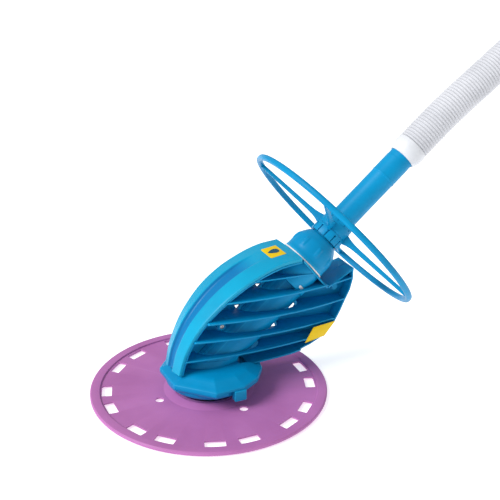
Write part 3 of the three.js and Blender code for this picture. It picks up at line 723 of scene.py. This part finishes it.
def make_hub():
    """A stepped outside, slots in both ends, and an eye at the end of each lower slot."""
    at, bore, hub = WHEEL["at"], WHEEL["bore"], WHEEL["hub"]
    low, high = at + WHEEL["low"], at + WHEEL["high"]
    ring = [(bore, low), (hub + 0.8, low), (hub + 0.8, at - 5.2), (hub - 0.7, at - 4.8),
            (hub - 0.7, at - 3.6), (hub, at - 3.2), (hub, high - 5.4), (hub - 0.7, high - 5),
            (hub - 0.7, high), (bore, high)]
    slot_end = low + 10.8
    tools = []
    for i in range(WHEEL["slots"]):
        spin = Matrix.Rotation(2 * math.pi * (i + 0.5) / WHEEL["slots"], 4, "Z")
        tools.append(turn(block(hub - 1.6, hub + 3, -0.95, 0.95, low - 1, slot_end), spin))
        eye = turn(rod(1.6, -3, 3, 24), Matrix.Rotation(math.pi / 2, 4, "Y"))
        tools.append(turn(eye, spin @ Matrix.Translation((hub + 1.4, 0, slot_end))))
        tools.append(turn(block(hub - 1.7, hub + 3, -1.1, 1.1, high - 4.0, high + 1), spin))
    return combine(lathe(rounded(ring, 0.5, 2), WHEEL["hub_sides"]), tools, "DIFFERENCE")


def make_wheel():
    step = 360 / WHEEL["spokes"]
    spokes = [spoke(WHEEL["first"] + step * i) for i in range(WHEEL["spokes"])]
    bm = combine(make_hub(), [make_rim(), *spokes], "UNION")
    return piece(bm, "spoked_deflector_wheel", "wheel", ["deflector_wheel"], BLUE,
                 ABOUT_NECK, 40)


# ---------------------------------------------------------------- body
# The front of the body on the middle plane, [x, z], and its [half width, z].
FRONT_CURVE = [(129, 201.5), (98, 199.5), (66, 191), (32, 175.5), (-1, 152), (-31, 119),
               (-50.5, 82), (-59, 50.5)]
FRONT_WIDTHS = [(24, 40), (27, 82), (31.5, 119), (37, 152), (39.5, 180), (38.5, 206)]
WIDTH_LINE = catmull([(z, half) for half, z in FRONT_WIDTHS], 60)
LABEL_LINE = catmull(FRONT_CURVE, 400)


def half_width(z):
    for a, b in zip(WIDTH_LINE, WIDTH_LINE[1:]):
        if a.x <= z <= b.x:
            return a.y + (b.y - a.y) * (z - a.x) / (b.x - a.x)
    return FRONT_WIDTHS[-1][0] if z > FRONT_WIDTHS[-1][1] else FRONT_WIDTHS[0][0]


def ease(value):
    """A smooth step from 0 to 1."""
    value = min(max(value, 0.0), 1.0)
    return value * value * (3 - 2 * value)


# The band's outer face: [share of the half width, fall of the flank, depth of the channel].
BAND = [(0.0, 0, 1), (0.1, 0, 1), (0.18, 0, 0.98), (0.23, 0, 0.9), (0.265, 0, 0.72),
        (0.29, 0, 0.45), (0.31, 0, 0.18), (0.33, 0, 0.03), (0.35, 0.01, 0), (0.4, 0.06, 0),
        (0.5, 0.2, 0), (0.65, 0.44, 0), (0.8, 0.68, 0), (0.93, 0.87, 0), (0.965, 0.94, 0),
        (0.99, 1.08, 0), (1.0, 1.3, 0)]
# Its inner face: [how far in from the edge, depth].
BAND_UNDER = [(0, 5.9), (0.3, 6.2), (1.9, 6.2), (2.2, 5.9), (2.6, 4.2), (3.4, 3.2)]
CHANNEL_SHADE_SHARE = (0.29, 0.335)          # where the channel's painted shade starts to fade, and ends


def channel_fade(x):
    """The channel runs out towards the label."""
    return ease((80 - x) / 40)


def band_height(x, fall, depth):
    """How far the band's face stands out from the front curve, in millimetres."""
    flat = ease((x - 45) / 60)
    channel = 4.4 * channel_fade(x)
    crest = 2.1 * (1 - flat)
    return crest - fall * (4.2 * (1 - flat) + 1.2 * flat) - depth * channel


def make_bumper():
    line = catmull(FRONT_CURVE, 120)
    bm = bmesh.new()
    rings = []
    for i, here in enumerate(line):
        way = (line[min(i + 1, len(line) - 1)] - line[max(i - 1, 0)]).normalized()
        inward = Vector((-way.y, way.x))
        half = half_width(here.y)
        face = [(share * half, -band_height(here.x, fall, depth)) for share, fall, depth in BAND]
        half_ring = face + [(half - inset, depth) for inset, depth in BAND_UNDER]
        whole = [(-y, d) for y, d in reversed(half_ring)] + half_ring[1:]
        ring = [(here.x + inward.x * d, y, here.y + inward.y * d) for y, d in whole]
        rings.append([bm.verts.new(point) for point in ring])
    tools = [turn(rod(COLLAR["radius"] + 0.4, COLLAR["low"] - 1, 240), TO_DISC),
             turn(block(-200, 200, -100, 100, COLLAR["high"], 260), TO_DISC)]
    bm = combine(skin(bm, rings), tools, "DIFFERENCE")
    # Painted shade: the channel's vertices take a darker colour, which fades at its walls and towards the label.
    painted_shade = []
    for vert in bm.verts:
        share = abs(vert.co.y) / half_width(vert.co.z)
        start, end = CHANNEL_SHADE_SHARE
        painted_shade.append(ease((end - share) / (end - start)) * channel_fade(vert.co.x))
    band = piece(bm, "front_band", "body", ["front_bumper"], BAND_BLUE,
                 ABOUT_DISC, 30)
    band.data.attributes.new("painted_shade", "FLOAT", "POINT").data.foreach_set("value", painted_shade)
    return band


def label_point(x, y, lift):
    """A point on the band's face at x and y, in millimetres, lifted by a little."""
    line = LABEL_LINE
    i = min(range(1, len(line) - 1), key=lambda k: abs(line[k].x - x))
    way = (line[i + 1] - line[i - 1]).normalized()
    share = abs(y) / half_width(line[i].y)
    low, high = [(a, b) for a, b in zip(BAND, BAND[1:]) if a[0] <= share <= b[0]][0]
    t = (share - low[0]) / (high[0] - low[0])
    fall, depth = low[1] + (high[1] - low[1]) * t, low[2] + (high[2] - low[2]) * t
    out = band_height(x, fall, depth) + lift
    return (line[i].x + way.y * out, y, line[i].y - way.x * out)


def patch(outline, low, high):
    """A thin film on the band's face, from an outline on the plan."""
    bm = bmesh.new()
    steps = 10
    middle = sum((Vector(p) for p in outline), Vector((0, 0))) / len(outline)
    rings = [[tuple(middle)]]
    for k in range(1, steps + 1):
        rings.append([tuple(middle.lerp(Vector(p), k / steps)) for p in outline])
    rims = []
    for lift in (high, low):
        made = [[bm.verts.new(label_point(x, y, lift)) for x, y in ring] for ring in rings]
        for a, b in zip(made, made[1:]):
            for i in range(len(b)):
                j = (i + 1) % len(b)
                bm.faces.new([a[0], b[i], b[j]] if len(a) == 1 else [a[i], b[i], b[j], a[j]])
        rims.append(made[-1])
    return skin_between(bm, *rims)


def skin_between(bm, first, second):
    for i in range(len(first)):
        j = (i + 1) % len(first)
        bm.faces.new([first[i], second[i], second[j], first[j]])
    bmesh.ops.recalc_face_normals(bm, faces=bm.faces)
    return bm


DROP = {"middle": 104.5, "half": 7.5, "tail": 1.3, "width": 8, "points": 40}


def drop_outline():
    """A plain water drop on the plan, with its tip towards the front."""
    made = []
    for k in range(DROP["points"]):
        t = 2 * math.pi * k / DROP["points"]
        reach = DROP["half"] * (1 if math.cos(t) < 0 else DROP["tail"])
        width = DROP["width"] * math.sin(t / 2) ** 0.6
        made.append((DROP["middle"] - reach * math.cos(t), width * math.sin(t)))
    return made


def make_labels():
    """The film and the print on it; the print stands for no CAD piece."""
    film = rounded([(91.5, -16.5), (115.5, -16.5), (115.5, 16.5), (91.5, 16.5)], 2.0, 4)
    piece(patch(film, 0.02, 0.5), "top_film", "body", ["top_label"], YELLOW)
    piece(patch(drop_outline(), 0.42, 0.6), "drop_print", "body", [], INK)


SCREW = {"head": 3.6, "shank": 1.9, "under": 2.4, "cross": 1.7, "cross_half": 0.45, "turned": 0.5}


def make_screws():
    """Pan-head screws with a cross recess, on the two sides of the body."""
    for number in range(1, 5):
        low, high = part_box(f"body_screw_{number}")
        side = -1 if abs(low.y) > abs(high.y) else 1
        top, tip = (low.y, high.y) if side < 0 else (high.y, low.y)
        length = abs(top - tip) / MM
        head, shank, under = SCREW["head"], SCREW["shank"], SCREW["under"]
        outline = [(0, 0), (2.1, 0.1), (3.1, 0.6), (head, 1.5), (head, under), (shank, under),
                   (shank, length - 2), (0, length - 0.5)]
        bm = lathe(rounded(outline, 0.3, 2, False), 48, False)
        reach, half = SCREW["cross"], SCREW["cross_half"]
        for quarter in (0, math.pi / 2):
            spin = Matrix.Rotation(quarter + SCREW["turned"], 4, "Z")
            tool = turn(block(-reach, reach, -half, half, -1, 1.3), spin)
            bm = combine(bm, [tool], "DIFFERENCE")
        centre = Vector(((low.x + high.x) / 2, top, (low.z + high.z) / 2))
        stand = Matrix.Rotation(math.pi / 2 * side, 4, "X")
        place = Matrix.Translation(centre) @ stand @ Matrix.Scale(MM, 4)
        piece(bm, f"screw_{number}", "body", [f"body_screw_{number}"], STEEL, place)


# ---------------------------------------------------------------- CAD pieces
SOFTENED = {"body_shell_left": BLUE, "body_shell_right": BLUE, "foot_pad": RUBBER,
            "side_label_left": YELLOW, "side_label_right": YELLOW}
SLOTS = {part["node"]: part["material_slot"] for part in frame["record"]["subparts"]}
LOOK = {"blue_plastic": BLUE, "purple_elastomer": PURPLE, "black_rubber": RUBBER, "steel": STEEL,
        "white_plastic": WHITE, "white_hose": HOSE_WHITE, "yellow_trim": YELLOW, "grey_foam": FOAM}


def make_softened():
    for node, look in SOFTENED.items():
        obj = softened(node, 0.35 if look is BLUE else 0.25)
        finish_piece(obj, node + "_moulded", "body", [node], look)


def dress_cad():
    """The CAD pieces that show have the materials of their slots."""
    for node, slot in SLOTS.items():
        mesh = NODES[node].data
        mesh.materials.clear()
        mesh.materials.append(LOOK[slot])


# ---------------------------------------------------------------- room
SUN = {"energy": 2.7, "angle": math.radians(30), "travel": Vector((0.94, -0.02, -0.84))}
WORLD_STRENGTH = 0.47
FLOOR = {"half": 8, "z": -0.0006, "shade": (0.93, 0.93, 0.93, 1), "glow": 0.55}


def make_lights():
    world = bpy.data.worlds.new("studio")
    bpy.context.scene.world = world
    world.use_nodes = True
    world.node_tree.nodes["Background"].inputs["Color"].default_value = (1, 1, 1, 1)
    world.node_tree.nodes["Background"].inputs["Strength"].default_value = WORLD_STRENGTH
    sun = bpy.data.objects.new("key", bpy.data.lights.new("key", "SUN"))
    sun.data.energy = SUN["energy"]
    sun.data.angle = SUN["angle"]
    sun.rotation_euler = SUN["travel"].to_track_quat("-Z", "Y").to_euler()
    bpy.context.scene.collection.objects.link(sun)


def make_floor():
    bm = bmesh.new()
    bmesh.ops.create_grid(bm, x_segments=1, y_segments=1, size=FLOOR["half"])
    floor = to_object(bm, "floor")
    floor.location.z = FLOOR["z"]
    material, _, _, shader = new_material("floor")
    shader.inputs["Base Color"].default_value = FLOOR["shade"]
    shader.inputs["Roughness"].default_value = 0.9
    shader.inputs["Specular IOR Level"].default_value = 0.1
    shader.inputs["Emission Color"].default_value = (1, 1, 1, 1)
    shader.inputs["Emission Strength"].default_value = FLOOR["glow"]
    floor.data.materials.append(material)


make_camera()
make_cord()
make_floor()
make_lights()
make_disc()
make_foot()
make_clips()
make_housing()
make_nut()
make_rings()
make_pipe()
make_wheel()
make_bumper()
make_labels()
make_screws()
make_softened()
dress_cad()
bpy.context.scene.view_settings.view_transform = "Standard"
